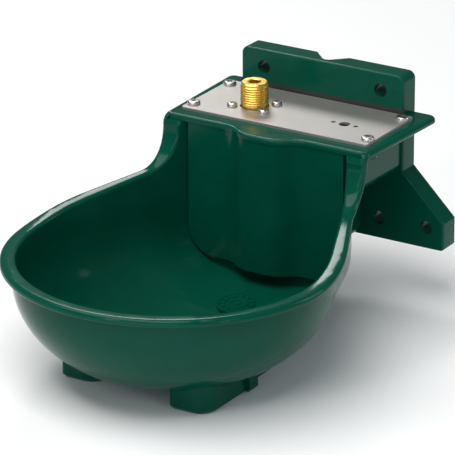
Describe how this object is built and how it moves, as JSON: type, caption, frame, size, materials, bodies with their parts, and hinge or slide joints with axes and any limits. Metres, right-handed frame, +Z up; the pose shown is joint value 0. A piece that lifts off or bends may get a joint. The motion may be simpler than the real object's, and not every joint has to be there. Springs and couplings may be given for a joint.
{
  "type": "livestock drinking bowl",
  "caption": "Moulded drinking bowl for livestock with a float valve behind a guard panel, under a flat steel cover with a threaded inlet, on a bolted wall plate.",
  "frame": {"origin": "middle of the square of four wall bolts, on the wall plane", "axes": "+Y into the wall, the bowl reaches out towards -Y; +Z up; +X to the right when the wall is faced"},
  "size_m": [0.2462, 0.3446, 0.1726],
  "materials": {
    "green_moulding": "glossy dark green moulding",
    "cover_steel": "satin stainless sheet",
    "bright_steel": "bright stainless",
    "brass": "machined brass",
    "black_rubber": "matt rubber",
    "valve_plastic": "matt moulding",
    "float_foam": "closed-cell foam"
  },
  "bodies": {
    "housing": {"bowl_body": "green_moulding", "float_guard": "green_moulding", "cover_plate": "cover_steel", "rear_seal_strip": "black_rubber", "cover_screws": "bright_steel", "cover_inserts": "brass", "inlet_nipple": "brass", "nipple_o_ring": "black_rubber", "inlet_strainer": "bright_steel", "valve_gasket": "black_rubber", "valve_screws": "bright_steel", "valve_body": "valve_plastic", "valve_seat": "brass", "pivot_pin": "bright_steel", "pin_clips": "bright_steel"},
    "float_lever": {"float_arm": "valve_plastic", "float_stem": "bright_steel", "float_nuts": "bright_steel", "float": "float_foam"},
    "piston": {"plunger": "valve_plastic", "plunger_seal": "black_rubber"}
  },
  "joints": [
    {"name": "float_pivot", "type": "hinge", "parent": "housing", "child": "float_lever", "pos_m": [-0.044, -0.0575, 0.0006], "axis": [0, -1, 0], "range_deg": [0, 18]},
    {"name": "piston_slide", "type": "slide", "parent": "housing", "child": "piston", "axis": [0, 0, 1], "range_m": [0, 0.0033]}
  ],
  "couplings": [
    {"joint": "piston_slide", "follows": "float_pivot", "m_per_rad": 0.0105}
  ]
}
